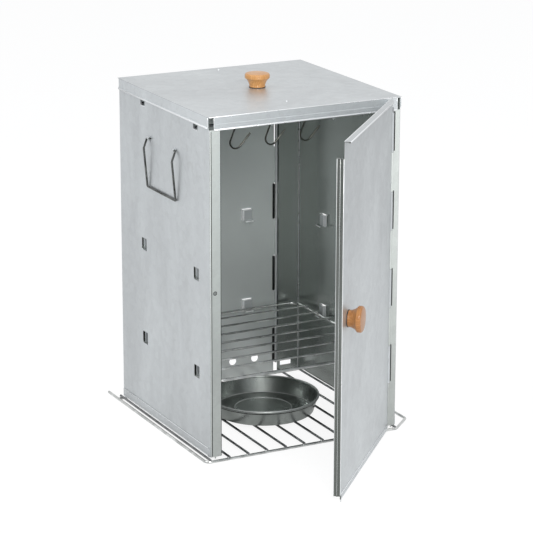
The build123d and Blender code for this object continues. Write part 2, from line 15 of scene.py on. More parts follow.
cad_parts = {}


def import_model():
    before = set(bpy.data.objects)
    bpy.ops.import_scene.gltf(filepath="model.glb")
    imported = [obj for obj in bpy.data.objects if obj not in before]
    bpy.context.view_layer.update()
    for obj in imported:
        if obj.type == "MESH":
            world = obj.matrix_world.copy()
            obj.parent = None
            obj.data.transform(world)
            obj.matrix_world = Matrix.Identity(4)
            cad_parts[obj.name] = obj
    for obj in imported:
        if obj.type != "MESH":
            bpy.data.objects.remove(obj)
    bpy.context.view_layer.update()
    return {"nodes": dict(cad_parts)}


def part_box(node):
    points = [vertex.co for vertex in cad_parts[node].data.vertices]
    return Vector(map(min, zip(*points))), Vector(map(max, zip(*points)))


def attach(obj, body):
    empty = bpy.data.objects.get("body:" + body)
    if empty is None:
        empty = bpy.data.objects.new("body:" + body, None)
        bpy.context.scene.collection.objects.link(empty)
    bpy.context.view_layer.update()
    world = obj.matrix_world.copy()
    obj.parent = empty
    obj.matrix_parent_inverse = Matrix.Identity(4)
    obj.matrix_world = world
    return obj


logging.basicConfig(level=logging.INFO, format="%(name)s: %(message)s")
LOG = logging.getLogger("smoker")

Node = bpy.types.Node
Socket = bpy.types.NodeSocket
Tree = bpy.types.NodeTree
Material = bpy.types.Material
Object = bpy.types.Object
Mesh = bmesh.types.BMesh
CadNodes = dict[str, Object]
Names = tuple[str, ...]
Pair = tuple[float, float]
Triple = tuple[float, float, float]
Colour = Point = Triple
Run = tuple[list[Point], float]

SIDES = (-1, 1)
WHITE = (1.0, 1.0, 1.0, 1.0)
CABINET_BOTTOM = 0.00775
LID_TOP = 0.49675
HALF_BODY = 0.150
SHEET = 0.0008
# How deep under the body's outside the supports and knuckles start and end.
RAISED_BAND = (0.0058, 0.0030)
ROD_PLACES = (-0.1066, 0.067)
DOOR_HINGE = (0.134, -0.155)
DOOR_ANGLE = 47.0
DOOR_WIDTH = 0.2868
LID_DROP = 0.0185
LID_SIDE_DROP = 0.016
PAN_MIDDLE = (0.0095, -0.002)


class Slot(Enum):
    """Material slots of the record, passed along with some added pieces' finishes."""

    SHEET = "galvanised_sheet"
    ROD = "steel_rod"
    WIRE = "bright_wire"
    PAN = "dark_pan"


class PaintedLightZone(Enum):
    """Where a sheet has painted light or shade of its own, by the name of the effect that masks it."""

    WITHIN_CABINET = "within_cabinet"
    DOOR_RETURN = "door_return"


class Plane(Enum):
    """The two axes of the plane that a ring lies in."""

    LEVEL = (0, 1)
    FRONT = (0, 2)
    SIDE = (1, 2)


@dataclass
class NodeWriter:
    """Adds and links the nodes of one node tree."""

    tree: Tree

    def add(self, kind: str, inputs: dict[Any, Any] | None = None, **settings: Any) -> Node:
        """Adds a node.

        Args:
            kind: The node's type name.
            inputs: Values or sockets for its inputs, by name or number.
            settings: Attributes of the node.

        Returns:
            The new node.
        """
        node = self.tree.nodes.new(kind)
        for name, value in settings.items():
            setattr(node, name, value)
        for name, value in (inputs or {}).items():
            socket = node.inputs[name]
            if isinstance(value, Socket):
                self.tree.links.new(value, socket)
            else:
                socket.default_value = value
        return node

    def maths(self, operation: str, first: Any, second: Any = 0.0) -> Socket:
        """Adds a Math node.

        Args:
            operation: Its operation.
            first: Its first input, a number or a socket.
            second: Its second input, a number or a socket.

        Returns:
            Its output.
        """
        return self.add("ShaderNodeMath", {0: first, 1: second}, operation=operation).outputs[0]

    def vector(self, operation: str, first: Any, second: Any) -> Socket:
        """Adds a Vector Math node.

        Args:
            operation: Its operation.
            first: Its first vector.
            second: Its second vector, or the factor that a SCALE multiplies by.

        Returns:
            Its output.
        """
        key = "Scale" if operation == "SCALE" else 1
        return self.add("ShaderNodeVectorMath", {0: first, key: second}, operation=operation).outputs[0]

    def noise(self, place: Any, **inputs: Any) -> Any:
        """Adds a Noise Texture node.

        Args:
            place: Its coordinates.
            inputs: Its other inputs.

        Returns:
            Its outputs.
        """
        return self.add("ShaderNodeTexNoise", {"Vector": place, **inputs}).outputs

    def spread(self, value: Any, low: Any, high: Any, out_low: Any = 0.0, out_high: Any = 1.0) -> Socket:
        """Stretches a value from one range onto another, clamped.

        Args:
            value: The socket to stretch.
            low: Start of its range.
            high: End of its range.
            out_low: Start of the new range.
            out_high: End of the new range.

        Returns:
            The stretched value.
        """
        inputs = {"Value": value, "From Min": low, "From Max": high, "To Min": out_low, "To Max": out_high}
        return self.add("ShaderNodeMapRange", inputs).outputs[0]

    def weigh(self, first: Any, share: float, second: Any) -> Socket:
        """Takes the weighted mean of two values.

        Args:
            first: The first value.
            share: Its share of the mean.
            second: The second value.

        Returns:
            The mean.
        """
        one = self.maths("MULTIPLY", first, share)
        return self.maths("ADD", one, self.maths("MULTIPLY", second, 1.0 - share))

    def blend(self, amount: Any, first: Any, second: Any, mode: str = "MIX") -> Socket:
        """Mixes two colours.

        Args:
            amount: How much of the second colour shows.
            first: The first colour, or a socket.
            second: The second colour, or a socket.
            mode: The blend mode.

        Returns:
            The mixed colour.
        """
        inputs = {0: amount, 6: first, 7: second}
        solid = {key: (*value, 1.0) if isinstance(value, tuple) else value for key, value in inputs.items()}
        return self.add("ShaderNodeMix", solid, data_type="RGBA", blend_type=mode).outputs[2]

    def bump(self, height: Any, strength: float, distance: float, normal: Any = None) -> Socket:
        """Adds a Bump node.

        Args:
            height: The height that it reads.
            strength: Its strength.
            distance: Its depth.
            normal: Output of another bump below it.

        Returns:
            The bent normal.
        """
        inputs = {"Strength": strength, "Distance": distance, "Height": height}
        if normal is not None:
            inputs["Normal"] = normal
        return self.add("ShaderNodeBump", inputs).outputs[0]

    def group(self, tree: Tree, place: Any, **inputs: Any) -> Any:
        """Adds a node group that reads coordinates.

        Args:
            tree: The group.
            place: The coordinates.
            inputs: Its other inputs.

        Returns:
            Its outputs.
        """
        return self.add("ShaderNodeGroup", {"Vector": place, **inputs}, node_tree=tree).outputs


class Effect(NodeWriter):
    """A node group in the making, which reads coordinates."""

    def __init__(self, name: str, outputs: Names, **inputs: Any) -> None:
        """Starts the group.

        Args:
            name: The group's name.
            outputs: Names of its outputs.
            inputs: Start values of its other inputs. Three numbers make a vector socket.
        """
        super().__init__(bpy.data.node_groups.new(name, "ShaderNodeTree"))
        plan = self.tree.interface
        plan.new_socket("Vector", in_out="INPUT", socket_type="NodeSocketVector")
        for key, start in inputs.items():
            kind = "NodeSocketVector" if isinstance(start, tuple) else "NodeSocketFloat"
            plan.new_socket(key, in_out="INPUT", socket_type=kind).default_value = start
        for key in outputs:
            plan.new_socket(key, in_out="OUTPUT", socket_type="NodeSocketFloat")
        self.into = self.add("NodeGroupInput").outputs
        self.place = self.into["Vector"]
        self.out = self.add("NodeGroupOutput").inputs

    def close(self, **results: Socket) -> Tree:
        """Links the results to the group's outputs.

        Args:
            results: The result for each output.

        Returns:
            The group.
        """
        for name, socket in results.items():
            self.tree.links.new(socket, self.out[name])
        return self.tree


class Effects:
    """The shared effects, each a node group that is built at its first use."""

    @cached_property
    def spangle(self) -> Tree:
        """Builds the crystal pattern of hot-dipped zinc, as a shade and a height."""
        nodes = Effect("zinc_spangle", ("Shade", "Height"), Scale=90.0)
        scale = nodes.into["Scale"]
        warp = nodes.noise(nodes.place, Scale=160.0, Detail=2.0)
        centred = nodes.vector("SUBTRACT", warp["Color"], (0.5, 0.5, 0.5))
        bent = nodes.vector("ADD", nodes.place, nodes.vector("SCALE", centred, 0.006))
        coarse = nodes.add("ShaderNodeTexVoronoi", {"Vector": bent, "Scale": scale}).outputs
        small_scale = nodes.maths("MULTIPLY", scale, 3.1)
        fine = nodes.add("ShaderNodeTexVoronoi", {"Vector": bent, "Scale": small_scale}).outputs
        big = nodes.add("ShaderNodeSeparateColor", {0: coarse["Color"]}).outputs[0]
        small = nodes.add("ShaderNodeSeparateColor", {0: fine["Color"]}).outputs[1]
        return nodes.close(Shade=nodes.weigh(big, 0.65, small), Height=coarse["Distance"])

    @cached_property
    def smears(self) -> Tree:
        """Builds soft wiped patches, as a mask."""
        nodes = Effect("wiped_smears", ("Mask",), Stretch=(9.0, 9.0, 2.4), Low=0.4, High=0.7)
        pulled = nodes.vector("MULTIPLY", nodes.place, nodes.into["Stretch"])
        cloud = nodes.noise(pulled, Scale=1.0, Detail=6.0, Roughness=0.58, Distortion=0.7)
        return nodes.close(Mask=nodes.spread(cloud[0], nodes.into["Low"], nodes.into["High"]))

    @cached_property
    def within_cabinet(self) -> Tree:
        """Builds a mask of the cabinet's inner faces, without the raised supports and knuckles, where the
        sheets paint inner shade and light.
        """
        low, high = (HALF_BODY - depth for depth in RAISED_BAND)
        nodes = Effect("inside_cabinet", ("Mask",), Half=HALF_BODY - SHEET / 2, Low=low, High=high)
        parts = nodes.add("ShaderNodeSeparateXYZ", {0: nodes.place}).outputs
        reach = nodes.maths("MAXIMUM", nodes.maths("ABSOLUTE", parts[0]), nodes.maths("ABSOLUTE", parts[1]))
        below = nodes.maths("LESS_THAN", reach, nodes.into["Low"])
        flat = nodes.maths("MAXIMUM", below, nodes.maths("GREATER_THAN", reach, nodes.into["High"]))
        inside = nodes.maths("LESS_THAN", reach, nodes.into["Half"])
        return nodes.close(Mask=nodes.maths("MULTIPLY", inside, flat))

    @cached_property
    def stand(self) -> Tree:
        """Builds how high a spot lies between two heights, and a mask of what faces the front, for the
        sheets' painted light and shade.
        """
        nodes = Effect("standing_height", ("Height", "Front"), Low=0.03, High=0.48)
        parts = nodes.add("ShaderNodeSeparateXYZ", {0: nodes.place}).outputs
        height = nodes.spread(parts[2], nodes.into["Low"], nodes.into["High"])
        return nodes.close(Height=height, Front=nodes.maths("LESS_THAN", parts[1], -HALF_BODY + SHEET / 4))

    @cached_property
    def door_return(self) -> Tree:
        """Builds a mask of the outer face of the door's return, with the door as it stands ajar, where the
        door's finish paints shade.
        """
        nodes = Effect("door_return_face", ("Mask",))
        inputs = {"Vector": nodes.place, "Center": (*DOOR_HINGE, 0.0), "Angle": -math.radians(DOOR_ANGLE)}
        turned = nodes.add("ShaderNodeVectorRotate", inputs, rotation_type="Z_AXIS")
        across = nodes.add("ShaderNodeSeparateXYZ", {0: turned.outputs[0]}).outputs[0]
        return nodes.close(Mask=nodes.maths("LESS_THAN", across, DOOR_HINGE[0] - DOOR_WIDTH + SHEET / 2))

    @cached_property
    def stains(self) -> Tree:
        """Builds few small dull stains, as a mask."""
        nodes = Effect("dull_stains", ("Mask",), Scale=70.0, Strength=0.18)
        spots = nodes.noise(nodes.place, Scale=nodes.into["Scale"], Detail=4.0, Distortion=0.6)
        where = nodes.noise(nodes.place, Scale=9.0, Detail=2.0)
        near = nodes.spread(where[0], 0.55, 0.72)
        full = nodes.maths("MULTIPLY", nodes.spread(spots[0], 0.58, 0.68), near)
        return nodes.close(Mask=nodes.maths("MULTIPLY", full, nodes.into["Strength"]))

    @cached_property
    def waves(self) -> Tree:
        """Builds the slight buckling of thin sheet, as a height."""
        nodes = Effect("sheet_waves", ("Height",), Scale=6.0)
        swell = nodes.noise(nodes.place, Scale=nodes.into["Scale"], Detail=1.5, Roughness=0.4)
        return nodes.close(Height=swell[0])

    @cached_property
    def scratches(self) -> Tree:
        """Builds short fine scratches in two directions, as a mask."""
        nodes = Effect("handling_scratches", ("Mask",), Scale=1.0)
        masks = []
        for turn, stretch in ((0.5, (900.0, 900.0, 26.0)), (-1.1, (620.0, 620.0, 34.0))):
            inputs = {"Vector": nodes.place, "Rotation": (turn, turn * 0.6, turn)}
            turned = nodes.add("ShaderNodeVectorRotate", inputs, rotation_type="EULER_XYZ")
            pulled = nodes.vector("MULTIPLY", turned.outputs[0], stretch)
            lines = nodes.noise(nodes.vector("SCALE", pulled, nodes.into["Scale"]), Scale=1.0, Detail=1.0)
            masks.append(nodes.spread(lines[0], 0.68, 0.76))
        where = nodes.noise(nodes.place, Scale=14.0, Detail=2.0)
        both = nodes.maths("MAXIMUM", *masks)
        return nodes.close(Mask=nodes.maths("MULTIPLY", both, nodes.spread(where[0], 0.45, 0.7)))

    @cached_property
    def speckle(self) -> Tree:
        """Builds the fine grit of a baked coating, as a shade and a height."""
        nodes = Effect("coating_speckle", ("Shade", "Height"), Scale=1500.0)
        grit = nodes.noise(nodes.place, Scale=nodes.into["Scale"], Detail=3.0, Roughness=0.65)
        return nodes.close(Shade=nodes.spread(grit[0], 0.35, 0.7), Height=grit[0])

    @cached_property
    def grain(self) -> Tree:
        """Builds the grain of turned beech along Z, as a shade and a mask of short dark flecks."""
        nodes = Effect("turned_grain", ("Shade", "Flecks"))
        pulled = nodes.vector("MULTIPLY", nodes.place, (1.0, 0.55, 0.12))
        inputs = {"Vector": pulled, "Scale": 120.0, "Distortion": 7.0, "Detail": 3.0, "Detail Scale": 1.6}
        shape = {"wave_type": "BANDS", "bands_direction": "X", "wave_profile": "SAW"}
        rings = nodes.add("ShaderNodeTexWave", inputs, **shape).outputs["Fac"]
        drift = nodes.noise(pulled, Scale=90.0, Detail=3.0)
        thin = nodes.vector("MULTIPLY", nodes.place, (2600.0, 2600.0, 330.0))
        flecks = nodes.noise(thin, Scale=1.0, Detail=1.0)
        shade = nodes.weigh(rings, 0.55, drift[0])
        return nodes.close(Shade=shade, Flecks=nodes.spread(flecks[0], 0.64, 0.72))


class Draft(NodeWriter):
    """A material in the making."""

    def __init__(self, name: str, **fixed: Any) -> None:
        """Starts a material with a Principled shader.

        Args:
            name: The material's name.
            fixed: Values for the shader's own sockets, with low lines for the blanks in their names.
        """
        self.material = bpy.data.materials.new(name)
        self.material.use_nodes = True
        super().__init__(self.material.node_tree)
        self.shader = self.tree.nodes["Principled BSDF"]
        for socket, value in fixed.items():
            self.shader.inputs[socket.replace("_", " ")].default_value = value
        self.place = self.add("ShaderNodeTexCoord").outputs["Object"]

    def close(self, colour: Any, rough: Any, normal: Any) -> Material:
        """Links the looks to the shader.

        Args:
            colour: The base colour.
            rough: The roughness.
            normal: The bent normal.

        Returns:
            The material.
        """
        for name, socket in (("Base Color", colour), ("Roughness", rough), ("Normal", normal)):
            self.tree.links.new(socket, self.shader.inputs[name])
        return self.material


@dataclass(frozen=True)
class SheetFinish:
    """Bright galvanised sheet with faint crystals and wiped patches, and painted light and shade by height,
    on front-facing faces and in a masked zone.
    """

    name: str
    dark: Colour = (0.54, 0.56, 0.57)
    light: Colour = (0.66, 0.69, 0.70)
    metallic: float = 0.75
    smoothest: float = 0.30
    roughest: float = 0.42
    scratch_rough: float = 0.06
    spangle_scale: float = 95.0
    spangle_share: float = 0.4
    wave_scale: float = 5.0
    calm_waves: float = 0.35
    smear_stretch: Point = (7.0, 7.0, 5.0)
    stain: Colour = (0.36, 0.36, 0.34)
    # The masked zone's colour and looks: painted shade inside the side walls and on the door's return,
    # painted light inside the back wall.
    painted_zone: PaintedLightZone | None = None
    shade: Colour = (0.47, 0.505, 0.485)
    shade_smears: float = 0.16
    shade_rough: float = 0.25
    shade_calm: float = 0.85
    # Painted light and shade: the colour is scaled between the values below, from the lower height to the
    # upper one, with the front values on front-facing faces, which are also tinted; below 1 is painted shade,
    # above 1 painted light.
    heights: Pair = (0.03, 0.48)
    foot: float = 1.0
    top_painted_light: float = 1.0
    front_foot_painted_light: float = 1.0
    front_top_painted_light: float = 1.0
    front_painted_tint: Colour = (1.0, 1.0, 1.0)

    def build(self, effects: Effects) -> Material:
        """Builds the material.

        Args:
            effects: The shared effects.

        Returns:
            The material.
        """
        nodes = Draft(self.name, Metallic=self.metallic, Specular_IOR_Level=0.5)
        place = nodes.place
        spangle = nodes.group(effects.spangle, place, Scale=self.spangle_scale)
        smears = nodes.group(effects.smears, place, Stretch=self.smear_stretch)["Mask"]
        waves = nodes.group(effects.waves, place, Scale=self.wave_scale)["Height"]
        scratches = nodes.group(effects.scratches, place)["Mask"]
        stains = nodes.group(effects.stains, place)["Mask"]
        tone = nodes.weigh(spangle["Shade"], self.spangle_share, smears)
        rough = nodes.spread(tone, 0.0, 1.0, self.roughest, self.smoothest)
        # Painted light and shade by height and on front-facing faces.
        low, high = self.heights
        stand = nodes.group(effects.stand, place, Low=low, High=high)
        foot = nodes.spread(stand["Front"], 0.0, 1.0, self.foot, self.front_foot_painted_light)
        top_painted_light = nodes.spread(stand["Front"], 0.0, 1.0, self.top_painted_light, self.front_top_painted_light)
        painted_light_scale = nodes.spread(stand["Height"], 0.0, 1.0, foot, top_painted_light)
        colour = nodes.vector("SCALE", nodes.blend(tone, self.dark, self.light), painted_light_scale)
        colour = nodes.blend(stand["Front"], colour, self.front_painted_tint, "MULTIPLY")
        worn: Any = 1.0
        # Painted shade in the masked zone, which on the back wall is painted light instead.
        if self.painted_zone is not None:
            where = nodes.group(getattr(effects, self.painted_zone.value), place)["Mask"]
            painted_zone_colour = nodes.blend(nodes.maths("MULTIPLY", smears, self.shade_smears), self.shade, self.dark)
            colour = nodes.blend(where, colour, painted_zone_colour)
            rough = nodes.spread(where, 0.0, 1.0, rough, self.shade_rough)
            worn = nodes.maths("SUBTRACT", 1.0, nodes.maths("MULTIPLY", where, self.shade_calm))
        colour = nodes.blend(nodes.maths("MULTIPLY", stains, worn), colour, self.stain)
        scraped = nodes.maths("MULTIPLY", scratches, worn)
        rough = nodes.maths("ADD", rough, nodes.maths("MULTIPLY", scraped, self.scratch_rough))
        buckles = nodes.maths("MULTIPLY", waves, nodes.spread(worn, 0.0, 1.0, self.calm_waves, 1.0))
        swell = nodes.bump(buckles, strength=0.5, distance=0.004)
        crystals = nodes.maths("MULTIPLY", spangle["Height"], worn)
        return nodes.close(colour, rough, nodes.bump(crystals, strength=0.05, distance=0.0004, normal=swell))


@dataclass(frozen=True)
class WireFinish:
    """Bright plated wire or drawn rod, with faint smears and grit."""

    name: str
    dark: Colour = (0.13, 0.135, 0.14)
    light: Colour = (0.24, 0.245, 0.25)
    smoothest: float = 0.12
    roughest: float = 0.24

    def build(self, effects: Effects) -> Material:
        """Builds the material.

        Args:
            effects: The shared effects.

        Returns:
            The material.
        """
        nodes = Draft(self.name, Metallic=1.0)
        stretch = (60.0, 60.0, 60.0)
        smears = nodes.group(effects.smears, nodes.place, Stretch=stretch, Low=0.35, High=0.65)["Mask"]
        grit = nodes.group(effects.speckle, nodes.place, Scale=1100.0)["Height"]
        colour = nodes.blend(smears, self.dark, self.light)
        rough = nodes.spread(smears, 0.0, 1.0, self.roughest, self.smoothest)
        return nodes.close(colour, rough, nodes.bump(grit, strength=0.15, distance=0.0002))


@dataclass(frozen=True)
class WoodFinish:
    """Varnished turned beech, with its grain along the knob's own axis."""

    name: str
    middle: Point
    axis: Point
    pale: Colour
    deep: Colour
    fleck: Colour = (0.26, 0.10, 0.028)
    fleck_share: float = 0.55
    smoothest: float = 0.30
    roughest: float = 0.45

    def build(self, effects: Effects) -> Material:
        """Builds the material.

        Args:
            effects: The shared effects.

        Returns:
            The material.
        """
        nodes = Draft(self.name, Metallic=0.0, Coat_Weight=0.4, Coat_Roughness=0.15, Specular_IOR_Level=0.4)
        turn = Vector(self.axis).rotation_difference(Vector((0.0, 0.0, 1.0))).to_euler()
        inputs = {"Vector": nodes.vector("SUBTRACT", nodes.place, self.middle), "Rotation": turn}
        turned = nodes.add("ShaderNodeVectorRotate", inputs, rotation_type="EULER_XYZ")
        grain = nodes.group(effects.grain, turned.outputs[0])
        body = nodes.blend(grain["Shade"], self.pale, self.deep)
        colour = nodes.blend(nodes.maths("MULTIPLY", grain["Flecks"], self.fleck_share), body, self.fleck)
        rough = nodes.spread(grain["Shade"], 0.0, 1.0, self.smoothest, self.roughest)
        return nodes.close(colour, rough, nodes.bump(grain["Shade"], strength=0.2, distance=0.0003))


@dataclass(frozen=True)
class CoatingFinish:
    """Dark baked coating over pressed steel."""

    name: str
    dark: Colour = (0.25, 0.27, 0.255)
    light: Colour = (0.42, 0.445, 0.43)
    metallic: float = 0.9
    smoothest: float = 0.22
    roughest: float = 0.36
    specular: float = 0.5
    grit_share: float = 0.35

    def build(self, effects: Effects) -> Material:
        """Builds the material.

        Args:
            effects: The shared effects.

        Returns:
            The material.
        """
        nodes = Draft(self.name, Metallic=self.metallic, Specular_IOR_Level=self.specular)
        grit = nodes.group(effects.speckle, nodes.place, Scale=1500.0)
        stretch = (22.0, 22.0, 22.0)
        smears = nodes.group(effects.smears, nodes.place, Stretch=stretch, Low=0.35, High=0.7)["Mask"]
        tone = nodes.weigh(grit["Shade"], self.grit_share, smears)
        colour = nodes.blend(tone, self.dark, self.light)
        rough = nodes.spread(tone, 0.0, 1.0, self.roughest, self.smoothest)
        return nodes.close(colour, rough, nodes.bump(grit["Height"], strength=0.2, distance=0.0002))


def place_mesh(name: str, mesh: Mesh, material: Material, body: str) -> None:
    """Turns built geometry into a piece that rides on a body.

    Args:
        name: The piece's name.
        mesh: Its geometry, which is freed.
        material: Its finish.
        body: The body that it rides on.
    """
    data = bpy.data.meshes.new(name)
    mesh.to_mesh(data)
    mesh.free()
    data.materials.append(material)
    data.shade_smooth()
    piece = bpy.data.objects.new(name, data)
    bpy.context.scene.collection.objects.link(piece)
    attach(piece, body)
    LOG.info("%s has %d faces", name, len(data.polygons))


def ring(middle: Point, radius: float, plane: Plane, steps: int = 14) -> list[Point]:
    """Lists points round a ring.

    Args:
        middle: The ring's middle.
        radius: Its radius.
        plane: The plane that it lies in.
        steps: How many points it has.

    Returns:
        The points, with the first one again at the end.
    """
    first, second = plane.value
    points = []
    for k in range(steps + 1):
        angle = 2 * math.pi * k / steps
        point = list(middle)
        point[first] += radius * math.cos(angle)
        point[second] += radius * math.sin(angle)
        points.append(tuple(point))
    return points


def add_tube(mesh: Mesh, path: list[Vector], radii: list[float], sides: int = 10) -> None:
    """Adds a round bead along a path.

    Args:
        mesh: The geometry that grows.
        path: Points along the bead's middle.
        radii: The bead's radius at each point.
        sides: How many sides its cross section has.
    """
    rings = []
    side = None
    for i, point in enumerate(path):
        ahead = (path[min(i + 1, len(path) - 1)] - path[max(i - 1, 0)]).normalized()
        side = ahead.orthogonal() if side is None else side - ahead * side.dot(ahead)
        side.normalize()
        over = ahead.cross(side)
        corners = []
        for k in range(sides):
            angle = 2 * math.pi * k / sides
            outward = side * math.cos(angle) + over * math.sin(angle)
            corners.append(mesh.verts.new(point + outward * radii[i]))
        rings.append(corners)
    for low, high in zip(rings, rings[1:]):
        for k in range(sides):
            after = (k + 1) % sides
            mesh.faces.new((low[k], low[after], high[after], high[k]))
    mesh.faces.new(list(reversed(rings[0])))
    mesh.faces.new(rings[-1])


@dataclass
class Trim:
    """Round beads along runs of points: hems, lips, rings, creases and dark lines, coloured as painted
    highlights and painted shadows.
    """

    name: str
    body: str
    runs: list[Run]
    tip_share: float = 0.35

    def build(self, material: Material, slot: Slot = Slot.SHEET) -> None:
        """Builds every run in one mesh, each tapered at its ends.

        Args:
            material: The finish.
            slot: The record's slot for the finish. Not used.
        """
        mesh = bmesh.new()
        for points, radius in self.runs:
            path = [Vector(p) for p in points]
            head = (path[1] - path[0]).normalized() * radius
            tail = (path[-1] - path[-2]).normalized() * radius
            path = [path[0], path[0] + head, *path[1:-1], path[-1] - tail, path[-1]]
            tip = radius * self.tip_share
            add_tube(mesh, path, [tip, *[radius] * (len(path) - 2), tip])
        place_mesh(self.name, mesh, material, self.body)


@dataclass
class Welds:
    """Resistance welds where thin bars cross a frame wire."""

    name: str
    body: str
    spots: list[Point]
    size: Point
    seed: int
    growth: Pair = (0.85, 1.15)
    unevenness: float = 0.00012

    def build(self, material: Material) -> None:
        """Builds every bead in one mesh.

        Args:
            material: The finish.
        """
        rng = random.Random(self.seed)
        mesh = bmesh.new()
        for spot in self.spots:
            grow = rng.uniform(*self.growth)
            shape = Matrix.Diagonal((self.size[0] * grow, self.size[1], self.size[2] * grow, 1.0))
            turn = Matrix.Translation(spot) @ shape
            made = bmesh.ops.create_icosphere(mesh, subdivisions=2, radius=1.0, matrix=turn)
            for vertex in made["verts"]:
                vertex.co += Vector([rng.uniform(-1.0, 1.0) for _ in range(3)]) * self.unevenness
        place_mesh(self.name, mesh, material, self.body)


@dataclass
class Studio:
    """Camera, floor and soft light."""

    azimuth: float = -27.45
    elevation: float = 16.17
    roll: float = 0.12
    lens: float = 158.54
    sensor: float = 36.0
    far_clip: float = 100.0
    distance: float = 3.4306
    aim: Point = (0.0, 0.0, 0.23925)
    slide_right: float = 0.01376
    slide_up: float = -0.00963
    floor_size: float = 40.0
    floor_grey: float = 0.86
    floor_rough: float = 0.9
    floor_glow: float = 1.09
    glow_for_camera: float = 0.82
    glow_for_mirrors: float = 0.35
    sky: Colour = (0.93, 0.96, 1.0)
    sky_strength: float = 0.5
    world_for_mirrors: float = 0.7
    lamp_aim: Point = (0.0, 0.0, 0.25)
    lamps: tuple[tuple[str, Point, float, float], ...] = (
        ("front", (-0.5, -1.75, 1.2), 0.8, 22.0),
        ("left", (-1.7, -0.2, 1.5), 1.0, 7.0),
        ("right", (2.8, -1.6, 1.6), 2.4, 6.0),
        ("top", (0.2, 0.6, 3.4), 2.6, 26.0),
    )

    def camera(self) -> None:
        """Places the camera where the photograph was taken from."""
        az, el, roll = (math.radians(a) for a in (self.azimuth, self.elevation, self.roll))
        back = Vector((math.sin(az) * math.cos(el), -math.cos(az) * math.cos(el), math.sin(el)))
        flat_right = Vector((math.cos(az), math.sin(az), 0.0))
        flat_up = back.cross(flat_right)
        right = flat_right * math.cos(roll) + flat_up * math.sin(roll)
        up = flat_up * math.cos(roll) - flat_right * math.sin(roll)
        spot = Vector(self.aim) + back * self.distance + right * self.slide_right + up * self.slide_up
        data = bpy.data.cameras.new("camera")
        data.lens = self.lens
        data.sensor_width = self.sensor
        data.clip_end = self.far_clip
        camera = bpy.data.objects.new("camera", data)
        turn = Matrix((right, up, back)).transposed().to_4x4()
        camera.matrix_world = Matrix.Translation(spot) @ turn
        bpy.context.scene.collection.objects.link(camera)
        bpy.context.scene.camera = camera

    @staticmethod
    def seen_share(nodes: NodeWriter, for_camera: float, for_mirrors: float) -> Socket:
        """Works out how much of a glow a ray sees, by its kind.

        Args:
            nodes: Writer of the tree that the glow is in.
            for_camera: Share for rays from the camera.
            for_mirrors: Share for mirrored and refracted rays.

        Returns:
            The share, which is none for any other ray.
        """
        rays = nodes.add("ShaderNodeLightPath").outputs
        mirrored = nodes.maths("MAXIMUM", rays["Is Glossy Ray"], rays["Is Transmission Ray"])
        seen = nodes.maths("MULTIPLY", rays["Is Camera Ray"], for_camera)
        return nodes.maths("MAXIMUM", seen, nodes.maths("MULTIPLY", mirrored, for_mirrors))

    def floor(self) -> None:
        """Lays a pale floor that keeps the object's shadow."""
        half = self.floor_size / 2
        mesh = bpy.data.meshes.new("floor")
        corners = [(-half, -half, 0.0), (half, -half, 0.0), (half, half, 0.0), (-half, half, 0.0)]
        mesh.from_pydata([Vector(c) for c in corners], [], [(0, 1, 2, 3)])
        colour = (*[self.floor_grey] * 3, 1.0)
        nodes = Draft("pale_floor", Base_Color=colour, Roughness=self.floor_rough, Specular_IOR_Level=0.0)
        glow = nodes.add("ShaderNodeEmission", {"Color": WHITE, "Strength": self.floor_glow})
        share = self.seen_share(nodes, self.glow_for_camera, self.glow_for_mirrors)
        mixed = nodes.add("ShaderNodeMixShader", {0: share, 1: nodes.shader.outputs[0], 2: glow.outputs[0]})
        nodes.tree.links.new(mixed.outputs[0], nodes.tree.nodes["Material Output"].inputs["Surface"])
        mesh.materials.append(nodes.material)
        floor = bpy.data.objects.new("floor", mesh)
        bpy.context.scene.collection.objects.link(floor)

    def light(self) -> None:
        """Hangs the soft boxes and sets the world's pale glow."""
        for name, spot, size, watts in self.lamps:
            data = bpy.data.lights.new(name, "AREA")
            data.shape = "SQUARE"
            data.size = size
            data.energy = watts
            lamp = bpy.data.objects.new(name, data)
            lamp.location = spot
            lamp.rotation_euler = (Vector(self.lamp_aim) - Vector(spot)).to_track_quat("-Z", "Y").to_euler()
            bpy.context.scene.collection.objects.link(lamp)
        world = bpy.data.worlds.new("studio")
        world.use_nodes = True
        nodes = NodeWriter(world.node_tree)
        ground = world.node_tree.nodes["Background"]
        ground.inputs["Color"].default_value = (*self.sky, 1.0)
        ground.inputs["Strength"].default_value = self.sky_strength
        white = nodes.add("ShaderNodeBackground", {"Color": WHITE, "Strength": 1.0})
        share = self.seen_share(nodes, 1.0, self.world_for_mirrors)
        mixed = nodes.add("ShaderNodeMixShader", {0: share, 1: ground.outputs[0], 2: white.outputs[0]})
        nodes.tree.links.new(mixed.outputs[0], world.node_tree.nodes["World Output"].inputs["Surface"])
        bpy.context.scene.world = world
        bpy.context.scene.view_settings.view_transform = "Standard"


@dataclass(frozen=True)
class Upright:
    """A straight upright bead, with its heights counted from the cabinet's bottom."""

    x: float
    y: float
    low: float
    high: float
    radius: float

    def run(self) -> Run:
        """Gives the bead's ends and radius.

        Returns:
            A run for a trim piece.
        """
        return [(self.x, self.y, CABINET_BOTTOM + z) for z in (self.low, self.high)], self.radius


